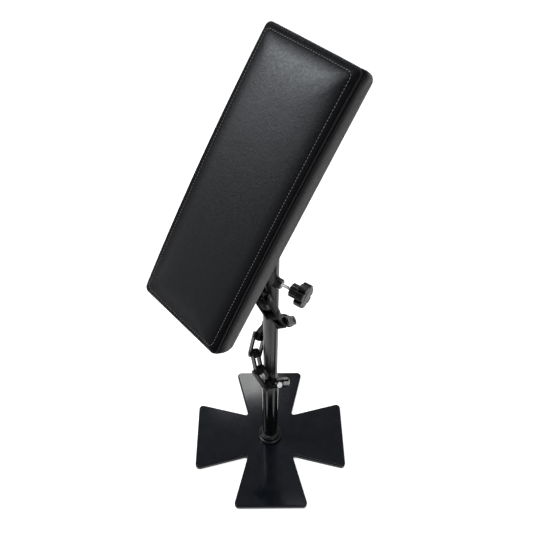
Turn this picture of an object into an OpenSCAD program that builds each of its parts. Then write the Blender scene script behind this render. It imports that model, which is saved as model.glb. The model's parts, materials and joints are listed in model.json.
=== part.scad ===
// Tattoo arm rest stand: a padded rest that tilts on a height-adjustable post over a flared cross base.
// Lengths are in millimetres and angles in degrees.
// Z is up, and the floor is at zero under the base's centre.
// The pad is drawn flat in its own frame, x across it, y along it and z out of its face, then tilted.

/* [Base] */
// Half of the width across opposite arms
base_half = 150; // [120:1:180]
// Half of an arm's width at its outer end
arm_end_half = 72; // [60:1:85]
// Distance from each centre line to an inner corner between two arms
arm_root = 45; // [38:1:52]
// Thickness of the steel plate
plate_t = 10; // [6:0.5:14]
// Radius of the eight outer corners
plate_corner_r = 8; // [4:0.5:14]
// Radius of the four inner corners
plate_inner_r = 4; // [3:0.5:8]
// Width of the bevel round the plate's top edge
plate_bevel = 2; // [1:0.25:3]
// Thickness of the rubber sheet under the plate
foot_t = 2; // [1.5:0.25:4]
// Distance from the plate's edge in to the sheet's edge
foot_margin = 1; // [0.5:0.5:6]

/* [Post] */
// Outer diameter of the lower tube
lower_tube_d = 30; // [28:0.5:34]
// Height of the lower tube above the plate
lower_tube_h = 213; // [180:1:240]
// Outer diameter of the upper tube
upper_tube_d = 25; // [24:0.5:26]
// Wall of the upper tube
upper_tube_wall = 1.5; // [1.2:0.1:2]
// Height of the upper tube's rim above the plate
upper_tube_top = 564; // [530:1:600]
// Length of the upper tube inside the lower one
upper_tube_overlap = 118; // [80:1:150]
// Radius of the flange on the base socket
socket_flange_r = 24; // [21:0.5:30]
// Thickness of the flange on the base socket
socket_flange_t = 8; // [5:0.5:10]
// Radius of the boss on the base socket
socket_boss_r = 20; // [18:0.5:21]
// Height of the base socket above the plate
socket_h = 17; // [14:0.5:24]
// Leg of the weld fillets
weld_leg = 3; // [2:0.25:4]

/* [Stem] */
// Outer diameter of the sliding stem
stem_d = 20; // [19:0.5:20]
// Wall of the stem
stem_wall = 2; // [1.5:0.1:3]
// Length of the stem inside the post, below the upper tube's rim
stem_inside = 199; // [180:1:215]
// Height of the tilt pivot above the upper tube's rim
pivot_rise = 90.6; // [80:0.1:105]
// Length of the top bush inside the upper tube
bush_l = 26; // [18:1:40]
// Thickness of the top bush's flange
bush_flange_t = 3; // [2:0.25:4]
// Radial clearance of each running or sliding fit
fit_gap = 0.05; // [0.03:0.01:0.08]
// Length of the plug in the stem's lower end
stem_plug_l = 15; // [10:1:25]
// Thickness of the plug's guide flange
stem_plug_flange_t = 4; // [3:0.5:6]

/* [Height lock] */
// Distance from the upper tube's rim down to the lock screw
lock_drop = 72; // [62:1:84]
// Direction that the lock screw points in
lock_turn = -34.5; // [-60:0.5:0]
// Distance from the post's axis to the outer face of the welded nut
lock_nut_end = 20; // [18:0.5:24]
// Width of the welded nut across its flats
lock_nut_af = 15; // [13:0.5:17]
// Diameter of the lock screw
lock_stud_d = 6; // [5:0.5:7]
// Distance from the post's axis to the back of the knob
lock_knob_start = 36.5; // [34:0.5:44]

/* [Knobs] */
// Number of lobes round a knob
knob_lobes = 7; // [5:1:9]
// Outer diameter of a knob
knob_d = 38; // [34:1:42]
// Length of a knob's lobed head
knob_head_l = 13; // [10:0.5:18]
// Outer diameter of a knob's ribbed hub
knob_hub_d = 21.6; // [20:0.1:23]
// Length of a knob's ribbed hub
knob_hub_l = 14; // [10:0.5:18]
// Number of ribs round the hub
knob_ribs = 12; // [8:1:16]

/* [Chain] */
// Distance between the joints of a link
chain_pitch = 32.2; // [31.8:0.1:32.6]
// Width between the plates of an inner link
chain_inner_w = 7; // [6.5:0.1:8]
// Thickness of a link plate
chain_plate_t = 3.2; // [2.8:0.1:3.3]
// Height of a link plate
chain_plate_h = 15; // [13.5:0.5:15.5]
// Diameter of a roller
chain_roller_d = 17; // [16:0.5:18]
// Diameter of a chain pin
chain_pin_d = 5.6; // [5:0.1:6]
// Height of the chain's lower turn above the lower tube's rim
chain_low = 20; // [19:0.5:24]
// Distance from the upper tube's rim down to the start of the chain's route
chain_drop = 64; // [56:1:80]
// Diameter of the screw that holds the chain
chain_screw_d = 6; // [5:0.5:6.5]
// Diameter of the chain screw's head
chain_screw_head_d = 10; // [9:0.5:12]
// Height of the chain screw's head
chain_screw_head_l = 4.5; // [3:0.5:6]

/* [Tilt head] */
// Width of the block on top of the stem, along the pivot
block_w = 24; // [21:0.5:28]
// Radius of the block round the pivot
block_r = 14; // [12:0.5:15]
// Radius of the block's round collar
collar_r = 15; // [13:0.5:16]
// Height of the block's collar
collar_h = 12; // [8:0.5:14]
// Distance from the pivot down to the block's lower face
block_drop = 38; // [32:0.5:42]
// Diameter of the pivot bolt's shank
pivot_bolt_d = 9.9; // [8:0.1:11]
// Thickness of the nylon washers beside the block
pivot_washer_t = 1.5; // [1:0.25:3]
// Radius of the washers on the pivot
pivot_washer_r = 11; // [9:0.5:13]
// Thickness of the bracket's ears
ear_t = 5; // [4:0.5:8]
// Radius of the bracket's ears round the pivot
ear_r = 13; // [11:0.5:15]
// Length of the bracket's plate, along the pad
bracket_l = 110; // [90:1:130]
// Width of the bracket's plate, across the pad
bracket_w = 70; // [60:1:90]
// Thickness of the bracket's plate
bracket_t = 4; // [3:0.5:6]
// Distance from the pivot to the upper face of the bracket's plate
bracket_rise = 29.5; // [28:0.1:34]
// Thickness of the washer under the tilt knob
knob_washer_t = 2; // [1.5:0.25:3]
// Distance between the bracket's screws along the pad
screw_pitch_l = 88; // [70:1:96]
// Distance between the bracket's screws across the pad
screw_pitch_w = 50; // [42:1:56]
// Diameter of the bracket's screws
screw_d = 6; // [5:0.5:7]

/* [Pad] */
// Direction of the tilt pivot, seen from above
pad_turn = -47.8; // [-90:0.1:0]
// Pitch of the pad as it stands at rest
pad_pitch = 53.2; // [0:0.1:60]
// Width of the pad along its top seam
pad_w = 151; // [120:1:180]
// Length of the pad along its top seam
pad_l = 386; // [330:1:420]
// Radius of the pad's corners along the seam
pad_corner_r = 7.5; // [6:0.5:20]
// Height from the board's underside to the top seam at a corner
boxing_h = 32; // [28:0.5:44]
// Rise of the cover's crown above the seam's corners
crown_h = 14; // [8:0.5:20]
// Rise of the seam at the middle of each long side
seam_lift = 6.5; // [0:0.5:9]
// Distance that the boxing bulges outward at half its height
boxing_bulge = 2.2; // [0:0.1:5]
// Distance that the band is drawn in at its lower edge
boxing_taper = 2.3; // [1:0.1:6]
// Thickness of the cover with its lining
cover_t = 1.6; // [1:0.1:2.5]
// Width of the cover that is folded under the board
cover_fold = 16; // [10:1:24]
// Thickness of the plywood board
board_t = 12; // [9:0.5:15]
// Thickness of the dust cover under the board
dust_t = 0.8; // [0.5:0.1:1.2]

/* [Hidden] */

round_fn = 96;
knob_fn = 24;

// Clearance between pieces of one body, and between soft pieces
seat_gap = 0.05;
soft_gap = 0.3;
// Length by which a cut runs past the face that it opens
overrun = 1;

// Heights above the floor
plate_z = foot_t + plate_t;
lower_rim_z = plate_z + lower_tube_h;
upper_rim_z = plate_z + upper_tube_top;
lock_z = upper_rim_z - lock_drop;
stem_z = upper_rim_z - stem_inside;
pivot_z = upper_rim_z + pivot_rise;
stem_top_z = pivot_z - block_drop;

// Post
lower_tube_r = lower_tube_d / 2;
upper_tube_r = upper_tube_d / 2;
lower_bore_r = upper_tube_r + 2 * seat_gap;
upper_bore_r = upper_tube_r - upper_tube_wall;
stem_r = stem_d / 2;
stem_bore_r = stem_r - stem_wall;

// Threads and their holes
lock_stud_r = lock_stud_d / 2;
tube_hole_r = lock_stud_r + soft_gap;
chain_screw_r = chain_screw_d / 2;
pivot_bolt_r = pivot_bolt_d / 2;
pivot_bore_r = pivot_bolt_r + fit_gap;
screw_r = screw_d / 2;

// Knobs
knob_r = knob_d / 2;
lobe_share = 0.29;
core_share = 0.74;
rib_share = 0.15;
knob_lobe_r = knob_r * lobe_share;
knob_core_r = knob_r * core_share;
knob_edge = 1.5;
knob_hub_r = knob_hub_d / 2;
knob_rib_r = knob_hub_r * rib_share;
knob_depth = knob_hub_l + knob_head_l / 2;

// Places along the pivot, from the post's axis outward
block_half = block_w / 2;
washer_in = block_half + fit_gap;
ear_in = washer_in + pivot_washer_t;
ear_out = ear_in + ear_t;
knob_seat = ear_out + knob_washer_t;
bolt_head_l = 6.4;
bolt_head_af = 16;

// Screws through the bracket's plate, with sizes as shares of the screw's diameter
head_r_share = 0.8;
head_l_share = 0.6;
tee_flange_share = 1.6;
tee_depth_share = 0.75;
screw_head_r = screw_d * head_r_share;
screw_head_l = screw_d * head_l_share;
screw_washer_t = 1.2;
screw_washer_r = screw_d;
tee_flange_r = screw_d * tee_flange_share;
tee_flange_t = 1.5;
tee_wall = 1;
tee_barrel_r = screw_r + tee_wall;
tee_barrel_l = board_t * tee_depth_share;

// Heights in the pad's frame, above the pivot
plate_low = bracket_rise - bracket_t;
board_low = bracket_rise + dust_t + cover_t;
board_top = board_low + board_t;
seam_z = board_low + boxing_h;

// Half sizes of the pad along the seam
pad_half_w = pad_w / 2;
pad_half_l = pad_l / 2;

// Places of equal pieces: one in each quarter
quarters = [[1, 1], [-1, 1], [-1, -1], [1, -1]];

// Directions and lists

function unit(v) = v / norm(v);
function left_of(v) = [-v.y, v.x];
function turn_between(a, b) = let (d = b - a) d > 180 ? d - 360 : d < -180 ? d + 360 : d;
function running_total(steps) =
    [for (i = 0, s = 0; i <= len(steps); s = s + (i < len(steps) ? steps[i] : 0), i = i + 1) s];

// A closed outline whose corners are rounded, drawn in by one distance all round
// Points run anticlockwise; radii give each corner's arc before the outline is drawn in
function rounded_outline(points, radii, inset, arc_steps) = [
    for (i = [0:len(points) - 1])
        let (
            n = len(points),
            here = points[i],
            in_dir = unit(here - points[(i + n - 1) % n]),
            out_dir = unit(points[(i + 1) % n] - here),
            n1 = left_of(in_dir),
            n2 = left_of(out_dir),
            side = cross(in_dir, out_dir) > 0 ? 1 : -1,
            centre = here + side * radii[i] * (n1 + n2) / (1 + n1 * n2),
            a1 = atan2(n1.y, n1.x),
            sweep = turn_between(a1, atan2(n2.y, n2.x)),
            reach = side * (radii[i] - side * inset)
        )
        for (k = [0:arc_steps])
            let (a = a1 + sweep * k / arc_steps)
            centre - reach * [cos(a), sin(a)]
];

// Middle of a ring: the mean of its points
function ring_middle(ring) = [for (p = ring) 1] * ring / len(ring);

// Solid from a stack of rings with equal point counts, closed by a fan round the middle at each end
module ring_stack(rings) {
    n = len(rings[0]);
    m = len(rings);
    low = m * n;
    high = low + 1;
    polyhedron(
        points = concat(
            [for (ring = rings) for (p = ring) p],
            [ring_middle(rings[0]), ring_middle(rings[m - 1])]
        ),
        faces = [
            for (i = [0:n - 1])
                let (j = (i + 1) % n)
                for (face = concat(
                    [[low, i, j], [high, (m - 1) * n + j, (m - 1) * n + i]],
                    [for (k = [0:m - 2]) [k * n + i, (k + 1) * n + i, (k + 1) * n + j]],
                    [for (k = [0:m - 2]) [k * n + i, (k + 1) * n + j, k * n + j]]
                )) face
        ]
    );
}

// Solid from rings that follow one another round a closed section
module ring_loop(rings) {
    n = len(rings[0]);
    m = len(rings);
    polyhedron(
        points = [for (ring = rings) for (p = ring) p],
        faces = [
            for (k = [0:m - 1]) for (i = [0:n - 1])
                let (j = (i + 1) % n, next = (k + 1) % m)
                for (half = [
                    [k * n + i, next * n + i, next * n + j],
                    [k * n + i, next * n + j, k * n + j]
                ]) half
        ]
    );
}

module tube(r_out, r_in, h) {
    difference() {
        cylinder(h = h, r = r_out, $fn = round_fn);
        translate([0, 0, -overrun]) cylinder(h = h + 2 * overrun, r = r_in, $fn = round_fn);
    }
}

module hex(af, h) {
    cylinder(h = h, d = af / cos(30), $fn = 6);
}

// Base

base_corners = [
    [base_half, -arm_end_half], [base_half, arm_end_half], [arm_root, arm_root],
    [arm_end_half, base_half], [-arm_end_half, base_half], [-arm_root, arm_root],
    [-base_half, arm_end_half], [-base_half, -arm_end_half], [-arm_root, -arm_root],
    [-arm_end_half, -base_half], [arm_end_half, -base_half], [arm_root, -arm_root]
];
base_radii = [
    for (i = [0:len(base_corners) - 1]) i % 3 == 2 ? plate_inner_r : plate_corner_r
];
base_arc_steps = 5;

module rubber_sheet() {
    color("#1c1c1c")
        linear_extrude(foot_t)
            polygon(rounded_outline(base_corners, base_radii, foot_margin, base_arc_steps));
}

module base_plate() {
    side_outline = rounded_outline(base_corners, base_radii, 0, base_arc_steps);
    top_outline = rounded_outline(base_corners, base_radii, plate_bevel, base_arc_steps);
    color("#22252a")
        ring_stack([
            [for (p = side_outline) [p.x, p.y, foot_t]],
            [for (p = side_outline) [p.x, p.y, plate_z - plate_bevel]],
            [for (p = top_outline) [p.x, p.y, plate_z]]
        ]);
}

module base_socket() {
    flange_edge = socket_flange_t / 4;
    color("#2a2c30")
        translate([0, 0, plate_z])
            rotate_extrude($fn = round_fn)
                polygon([
                    [lower_tube_r + seat_gap, 0],
                    [socket_flange_r, 0],
                    [socket_flange_r, socket_flange_t - flange_edge],
                    [socket_flange_r - flange_edge, socket_flange_t],
                    [socket_boss_r, socket_flange_t],
                    [socket_boss_r, socket_h],
                    [lower_tube_r + seat_gap, socket_h]
                ]);
}

// One bead where the socket meets the lower tube and one where the lower tube meets the upper one
module weld_beads() {
    rim_leg = lower_tube_r - upper_tube_r - seat_gap;
    color("#34363a") {
        translate([0, 0, plate_z + socket_h]) weld_ring(lower_tube_r + seat_gap, weld_leg);
        translate([0, 0, lower_rim_z]) weld_ring(upper_tube_r + seat_gap, rim_leg);
    }
}

// Section of a fillet: its legs, and a crest at a share of them
weld_crest_share = 0.7;

module weld_ring(r, leg) {
    crest = leg * weld_crest_share;
    rotate_extrude($fn = round_fn)
        polygon([[r, 0], [r + leg, 0], [r + crest, crest], [r, leg]]);
}

// Post

module lower_tube() {
    color("#0c0c0d")
        translate([0, 0, plate_z]) tube(lower_tube_r, lower_bore_r, lower_tube_h);
}

module upper_tube() {
    start_z = lower_rim_z - upper_tube_overlap;
    color("#3a3a3c")
        difference() {
            translate([0, 0, start_z]) tube(upper_tube_r, upper_bore_r, upper_rim_z - start_z);
            at_lock_screw() cylinder(h = lock_nut_end, r = tube_hole_r, $fn = round_fn);
            at_link(chain_low_link) translate([0, 0, -chain_screw_reach - overrun])
                cylinder(h = chain_screw_reach + overrun, r = chain_screw_r + seat_gap, $fn = round_fn);
        }
}

// Frame of the lock screw: z runs outward from the post's axis
module at_lock_screw() {
    translate([0, 0, lock_z]) rotate([0, 0, lock_turn]) rotate([0, 90, 0]) children();
}

module lock_nut() {
    color("#1b1b1d")
        difference() {
            at_lock_screw() translate([0, 0, stem_r]) hex(lock_nut_af, lock_nut_end - stem_r);
            at_lock_screw() cylinder(h = lock_nut_end + overrun, r = lock_stud_r + fit_gap, $fn = round_fn);
            translate([0, 0, lock_z - lock_nut_af])
                cylinder(h = 2 * lock_nut_af, r = upper_tube_r + seat_gap, $fn = round_fn);
        }
}

// Chain: a roller chain whose links follow a route wound round the post and turn about it on the way

chain_side_gap = 0.6;
chain_inner_half = chain_inner_w / 2 + chain_plate_t;
chain_outer_in = chain_inner_half + chain_side_gap;
chain_outer_half = chain_outer_in + chain_plate_t;
chain_pin_r = chain_pin_d / 2;
chain_bush_wall = 1.6;
chain_bore_r = chain_pin_r + chain_bush_wall;
chain_pin_head_r = chain_pin_r + 1;
chain_pin_head_l = 1;
chain_ease = 1.6;
chain_touch_r = upper_tube_r + soft_gap + chain_outer_half + chain_ease;
chain_lift = 4.5;
chain_start = 10;
chain_low_z = lower_rim_z + chain_low;
chain_rise = upper_rim_z - chain_drop - chain_low_z;

// Each row: the angle round the post, the shares of the rise and of the lift, and the chain's own turn
chain_route_shares = [
    [-165, 1.019, 0, -55], [-140, 0.955, 0, -35], [-106, 0.85, 0.11, -5], [-72, 0.73, 0.33, 18],
    [-35, 0.633, 0.89, 46], [0, 0.573, 1, 80], [40, 0.509, 0.89, 120], [80, 0.446, 0.5, 162],
    [119, 0.36, 0.45, 202], [149, 0.281, 0.85, 232], [178, 0.217, 0.4, 250], [208, 0.146, 0.15, 264],
    [242, 0.071, 0.56, 284], [275, 0.022, 1.11, 312], [310, 0.004, 1.33, 335], [340, 0, 1.78, 345],
    [375, 0, 2.67, 350]
];
route_steps = 16;

function spline(a, b, c, d, t) =
    (2 * b + (c - a) * t + (2 * a - 5 * b + 4 * c - d) * t ^ 2 + (3 * b - a - 3 * c + d) * t ^ 3) / 2;

route_last = len(chain_route_shares) - 1;
route_rows = concat(
    [for (i = [0:route_last - 1]) for (k = [0:route_steps - 1])
        spline(
            chain_route_shares[max(i - 1, 0)], chain_route_shares[i],
            chain_route_shares[i + 1], chain_route_shares[min(i + 2, route_last)],
            k / route_steps
        )],
    [chain_route_shares[route_last]]
);

function route_point(row) =
    let (r = chain_touch_r + chain_lift * row[2])
    [r * cos(row[0]), r * sin(row[0]), chain_low_z + chain_rise * row[1]];

route_reach = running_total([
    for (i = [1:len(route_rows) - 1]) norm(route_point(route_rows[i]) - route_point(route_rows[i - 1]))
]);
function route_table(column) = [for (i = [0:len(route_rows) - 1]) [route_reach[i], route_rows[i][column]]];
route_angles = route_table(0);
route_heights = route_table(1);
route_lifts = route_table(2);
route_turns = route_table(3);
route_length = route_reach[len(route_reach) - 1];

function on_route(s) =
    route_point([lookup(s, route_angles), lookup(s, route_heights), lookup(s, route_lifts)]);

// Distance along the route at which the straight distance from the last joint is one pitch
function next_joint(s, from, tries) =
    tries == 0 ? s : next_joint(s + chain_pitch - norm(on_route(s) - on_route(from)), from, tries - 1);

route_tries = 8;
chain_stops = [
    for (s = chain_start; s <= route_length; s = next_joint(s + chain_pitch, s, route_tries)) s
];
chain_low_link = 10;
inner_links = [for (k = [0:2:chain_low_link]) k];
outer_links = [for (k = [1:2:chain_low_link]) k];

function link_middle(k) = (on_route(chain_stops[k]) + on_route(chain_stops[k + 1])) / 2;
function link_along(k) = unit(on_route(chain_stops[k + 1]) - on_route(chain_stops[k]));
function link_radius(k) = norm([link_middle(k).x, link_middle(k).y]);
function link_out(k) =
    let (m = link_middle(k), t = link_along(k), out = [m.x, m.y, 0] / link_radius(k))
    unit(out - t * (t * out));
function link_face(k) =
    let (turn = lookup((chain_stops[k] + chain_stops[k + 1]) / 2, route_turns), out = link_out(k))
    out * cos(turn) + cross(link_along(k), out) * sin(turn);

// Frame of one link: x along the link, y along its pins, z square to both
module at_link(k) {
    t = link_along(k);
    face = link_face(k);
    side = cross(face, t);
    translate(link_middle(k))
        rotate([atan2(side.z, face.z), -asin(t.z), atan2(t.y, t.x)])
            children();
}

// Places of the two joints in a link's frame, turned so that z runs along the pin
module at_joints(ends = [1, -1]) {
    for (end = ends)
        translate([end * chain_pitch / 2, 0, 0]) rotate([90, 0, 0]) children();
}

module link_plate(bore_r) {
    linear_extrude(chain_plate_t)
        difference() {
            union() {
                square([chain_pitch, chain_plate_h], center = true);
                for (end = [1, -1])
                    translate([end * chain_pitch / 2, 0]) circle(d = chain_plate_h, $fn = round_fn);
            }
            for (end = [1, -1])
                translate([end * chain_pitch / 2, 0]) circle(r = bore_r, $fn = round_fn);
        }
}

// Two plates at one distance either side of a link's middle
module link_plates(plate_in, bore_r) {
    for (start = [plate_in, -plate_in - chain_plate_t])
        rotate([90, 0, 0]) translate([0, 0, start]) link_plate(bore_r);
}

module chain_inner_plates() {
    color("#1b1b1d")
        for (k = inner_links) at_link(k) link_plates(chain_inner_w / 2, chain_bore_r + seat_gap);
}

module chain_outer_plates() {
    color("#1b1b1d")
        for (k = outer_links) at_link(k) link_plates(chain_outer_in, chain_pin_r + seat_gap);
}

module chain_roller() {
    roller_l = chain_inner_w - 2 * seat_gap;
    translate([0, 0, -roller_l / 2]) tube(chain_roller_d / 2, chain_bore_r, roller_l);
}

// Every inner link has a roller at both joints, but the last one's outer roller is a piece of its own
module chain_rollers() {
    color("#1b1b1d")
        for (k = inner_links)
            at_link(k) at_joints(k == chain_low_link ? [-1] : [1, -1]) chain_roller();
}

module chain_end_roller() {
    bush_half = chain_inner_half + chain_side_gap;
    color("#b9bcc0")
        at_link(chain_low_link) at_joints([1])
            difference() {
                union() {
                    chain_roller();
                    translate([0, 0, -bush_half]) tube(chain_bore_r, chain_pin_r, 2 * bush_half);
                }
                translate([0, 0, -bush_half - overrun])
                    cylinder(h = 2 * (bush_half + overrun), r = chain_pin_r, $fn = round_fn);
            }
}

module chain_pins() {
    head_start = chain_outer_half + seat_gap;
    pin_half = head_start + chain_pin_head_l;
    color("#1b1b1d")
        for (k = outer_links)
            at_link(k) at_joints() {
                translate([0, 0, -pin_half]) cylinder(h = 2 * pin_half, r = chain_pin_r, $fn = round_fn);
                for (start = [head_start, -pin_half])
                    translate([0, 0, start])
                        cylinder(h = chain_pin_head_l, r = chain_pin_head_r, $fn = round_fn);
            }
}

// Socket-head screw through the lowest link's window into the post, which stops in the post's bore
low_middle = link_middle(chain_low_link);
chain_screw_lean = link_face(chain_low_link) * unit([low_middle.x, low_middle.y, 0]);
chain_screw_reach = (link_radius(chain_low_link) - upper_bore_r + chain_screw_r) / chain_screw_lean;

module chain_screw() {
    head_start = chain_plate_h / 2 + seat_gap;
    socket_r = chain_screw_head_d / 4;
    socket_l = chain_screw_head_l / 2;
    color("#b9bcc0")
        at_link(chain_low_link)
            difference() {
                union() {
                    translate([0, 0, -chain_screw_reach])
                        cylinder(
                            h = chain_screw_reach + head_start + chain_screw_head_l,
                            r = chain_screw_r, $fn = round_fn
                        );
                    translate([0, 0, head_start])
                        cylinder(h = chain_screw_head_l, d = chain_screw_head_d, $fn = round_fn);
                }
                translate([0, 0, head_start + chain_screw_head_l - socket_l])
                    hex(2 * socket_r, socket_l + overrun);
            }
}

// Stem and its guides

module top_bush() {
    color("#2b2b2e")
        translate([0, 0, upper_rim_z])
            rotate_extrude($fn = round_fn)
                polygon([
                    [stem_r + fit_gap, -bush_l],
                    [upper_bore_r - fit_gap, -bush_l],
                    [upper_bore_r - fit_gap, 0],
                    [upper_tube_r, 0],
                    [upper_tube_r, bush_flange_t],
                    [stem_r + fit_gap, bush_flange_t]
                ]);
}

module stem_plug() {
    color("#2b2b2e")
        translate([0, 0, stem_z - stem_plug_flange_t]) {
            cylinder(h = stem_plug_flange_t, r = upper_bore_r - fit_gap, $fn = round_fn);
            cylinder(h = stem_plug_flange_t + stem_plug_l, r = stem_bore_r - seat_gap, $fn = round_fn);
        }
}

module stem_tube() {
    color("#3c3c3e")
        translate([0, 0, stem_z]) tube(stem_r, stem_bore_r, stem_top_z - stem_z);
}

// Block on the stem: a round collar below, and flat cheeks round the pivot above
module tilt_block() {
    spigot_l = stem_d;
    neck_z = -block_drop + collar_h;
    color("#202124")
        translate([0, 0, pivot_z])
            difference() {
                union() {
                    translate([0, 0, -block_drop]) cylinder(h = collar_h, r = collar_r, $fn = round_fn);
                    translate([0, 0, -block_drop - spigot_l])
                        cylinder(h = spigot_l + collar_h, r = stem_bore_r - seat_gap, $fn = round_fn);
                    intersection() {
                        along_pivot() {
                            translate([0, 0, -block_half])
                                cylinder(h = block_w, r = block_r, $fn = round_fn);
                            translate([neck_z, -block_r, -block_half])
                                cube([-neck_z, 2 * block_r, block_w]);
                        }
                        translate([0, 0, neck_z])
                            cylinder(h = block_drop + block_r, r = block_w, $fn = round_fn);
                    }
                }
                along_pivot()
                    translate([0, 0, -block_w]) cylinder(h = 2 * block_w, r = pivot_bore_r, $fn = round_fn);
            }
}

// Frame of the pivot inside the upright head: z runs along the pivot, x runs up
module along_pivot() {
    rotate([0, 0, pad_turn]) rotate([0, 90, 0]) mirror([1, 0, 0]) children();
}

// Height lock

module lock_stud() {
    stud_start = stem_r + soft_gap;
    stud_end = lock_knob_start + knob_depth - seat_gap;
    color("#c4c6c9")
        at_lock_screw() translate([0, 0, stud_start])
            cylinder(h = stud_end - stud_start, r = lock_stud_r, $fn = round_fn);
}

module lock_knob() {
    color("#18181a")
        at_lock_screw() translate([0, 0, lock_knob_start]) star_knob(lock_stud_r + seat_gap, knob_depth);
}

// Lobed knob on a ribbed hub, with a blind hole from the hub's end
module star_knob(hole_r, hole_l) {
    difference() {
        union() {
            linear_extrude(knob_hub_l) {
                circle(r = knob_hub_r - knob_rib_r, $fn = round_fn);
                for (k = [0:knob_ribs - 1])
                    rotate([0, 0, 360 * k / knob_ribs])
                        translate([knob_hub_r - knob_rib_r, 0]) circle(r = knob_rib_r, $fn = knob_fn);
            }
            translate([0, 0, knob_hub_l]) linear_extrude(knob_head_l) knob_outline(0);
            translate([0, 0, knob_hub_l - knob_edge])
                linear_extrude(knob_head_l + 2 * knob_edge) knob_outline(knob_edge);
        }
        translate([0, 0, -overrun]) cylinder(h = hole_l + overrun, r = hole_r, $fn = round_fn);
    }
}

module knob_outline(inset) {
    circle(r = knob_core_r - inset, $fn = round_fn);
    for (k = [0:knob_lobes - 1])
        rotate([0, 0, 360 * k / knob_lobes])
            translate([knob_r - knob_lobe_r, 0]) circle(r = knob_lobe_r - inset, $fn = knob_fn * 2);
}

// Tilt head, drawn in the pad's frame

module at_pad() {
    translate([0, 0, pivot_z]) rotate([pad_pitch, 0, pad_turn]) children();
}

// Frame along the pivot in the pad's frame: z runs across the pad, towards the bolt's head
module at_pivot() {
    at_pad() rotate([0, 90, 0]) children();
}

module at_screws() {
    for (q = quarters)
        at_pad() translate([q.x * screw_pitch_w / 2, q.y * screw_pitch_l / 2, 0]) children();
}

module tilt_bracket() {
    plate_corner = ear_t * 2;
    color("#1e1f22")
        difference() {
            union() {
                at_pad() translate([0, 0, plate_low]) linear_extrude(bracket_t)
                    rounded_plate(bracket_w, bracket_l, plate_corner);
                for (side = [ear_in, -ear_out])
                    at_pivot() translate([0, 0, side]) linear_extrude(ear_t) {
                        circle(r = ear_r, $fn = round_fn);
                        translate([-plate_low, -ear_r]) square([plate_low, 2 * ear_r]);
                    }
            }
            at_pivot() translate([0, 0, -bracket_w / 2])
                cylinder(h = bracket_w, r = pivot_bore_r, $fn = round_fn);
            at_screws() translate([0, 0, plate_low - overrun])
                cylinder(h = bracket_t + 2 * overrun, r = screw_r + soft_gap, $fn = round_fn);
        }
}

module rounded_plate(w, l, r) {
    polygon(rounded_outline(
        [[w / 2, -l / 2], [w / 2, l / 2], [-w / 2, l / 2], [-w / 2, -l / 2]], [r, r, r, r], 0, base_arc_steps
    ));
}

module pivot_washers() {
    color("#e8e6df")
        for (side = [washer_in, -ear_in])
            at_pivot() translate([0, 0, side]) tube(pivot_washer_r, pivot_bolt_r + seat_gap, pivot_washer_t);
}

module pivot_bolt() {
    shank_end = knob_seat + knob_depth - seat_gap;
    color("#b4b7bb")
        at_pivot() {
            translate([0, 0, ear_out]) hex(bolt_head_af, bolt_head_l);
            translate([0, 0, -shank_end]) cylinder(h = shank_end + ear_out, r = pivot_bolt_r, $fn = round_fn);
        }
}

module knob_washer() {
    color("#b4b7bb")
        at_pivot() translate([0, 0, -knob_seat]) tube(pivot_washer_r, pivot_bolt_r + seat_gap, knob_washer_t);
}

module screw_washers() {
    color("#b4b7bb")
        at_screws() translate([0, 0, plate_low - screw_washer_t])
            tube(screw_washer_r, screw_r + seat_gap, screw_washer_t);
}

module bracket_screws() {
    head_z = plate_low - screw_washer_t - screw_head_l;
    tip_z = board_top - tee_flange_t;
    color("#b4b7bb")
        at_screws() {
            translate([0, 0, head_z]) cylinder(h = screw_head_l, r = screw_head_r, $fn = round_fn);
            translate([0, 0, head_z]) cylinder(h = tip_z - head_z, r = screw_r, $fn = round_fn);
        }
}

module tee_nuts() {
    color("#c9a95a")
        at_screws()
            difference() {
                union() {
                    translate([0, 0, board_top - tee_flange_t])
                        cylinder(h = tee_flange_t, r = tee_flange_r, $fn = round_fn);
                    translate([0, 0, board_top - tee_barrel_l])
                        cylinder(h = tee_barrel_l, r = tee_barrel_r, $fn = round_fn);
                }
                translate([0, 0, board_low])
                    cylinder(h = board_t + overrun, r = screw_r + seat_gap, $fn = round_fn);
            }
}

// Pad, drawn in the pad's frame

// The board fills the band's lower edge
board_inset = boxing_taper + cover_t + soft_gap;
board_half_w = pad_half_w - board_inset;
board_half_l = pad_half_l - board_inset;
board_corner_r = pad_corner_r;

module dust_cover() {
    margin = cover_fold / 2;
    color("#101011")
        difference() {
            at_pad() translate([0, 0, bracket_rise]) linear_extrude(dust_t)
                rounded_plate(2 * (board_half_w - margin), 2 * (board_half_l - margin), board_corner_r);
            at_screws() translate([0, 0, bracket_rise - overrun])
                cylinder(h = dust_t + 2 * overrun, r = screw_r + soft_gap, $fn = round_fn);
        }
}

module pad_board() {
    color("#b98b55")
        difference() {
            at_pad() translate([0, 0, board_low]) linear_extrude(board_t)
                rounded_plate(2 * board_half_w, 2 * board_half_l, board_corner_r);
            at_screws() translate([0, 0, board_low - overrun])
                cylinder(h = board_t + 2 * overrun, r = tee_barrel_r + seat_gap, $fn = round_fn);
            at_screws() translate([0, 0, board_top - tee_flange_t])
                cylinder(h = tee_flange_t + overrun, r = tee_flange_r + seat_gap, $fn = round_fn);
        }
}

// Points of the pad's outline along the seam, drawn in all round by one distance
// Extra points along each side let the seam rise towards the middle
side_steps = 10;
end_steps = 4;
pad_arc_steps = 4;

function side_points(a, b, steps) = [for (k = [1:steps - 1]) a + (b - a) * k / steps];
function corner_points(cx, cy, r, a) =
    [for (k = [0:pad_arc_steps]) let (b = a + 90 * k / pad_arc_steps) [cx + r * cos(b), cy + r * sin(b)]];

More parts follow.
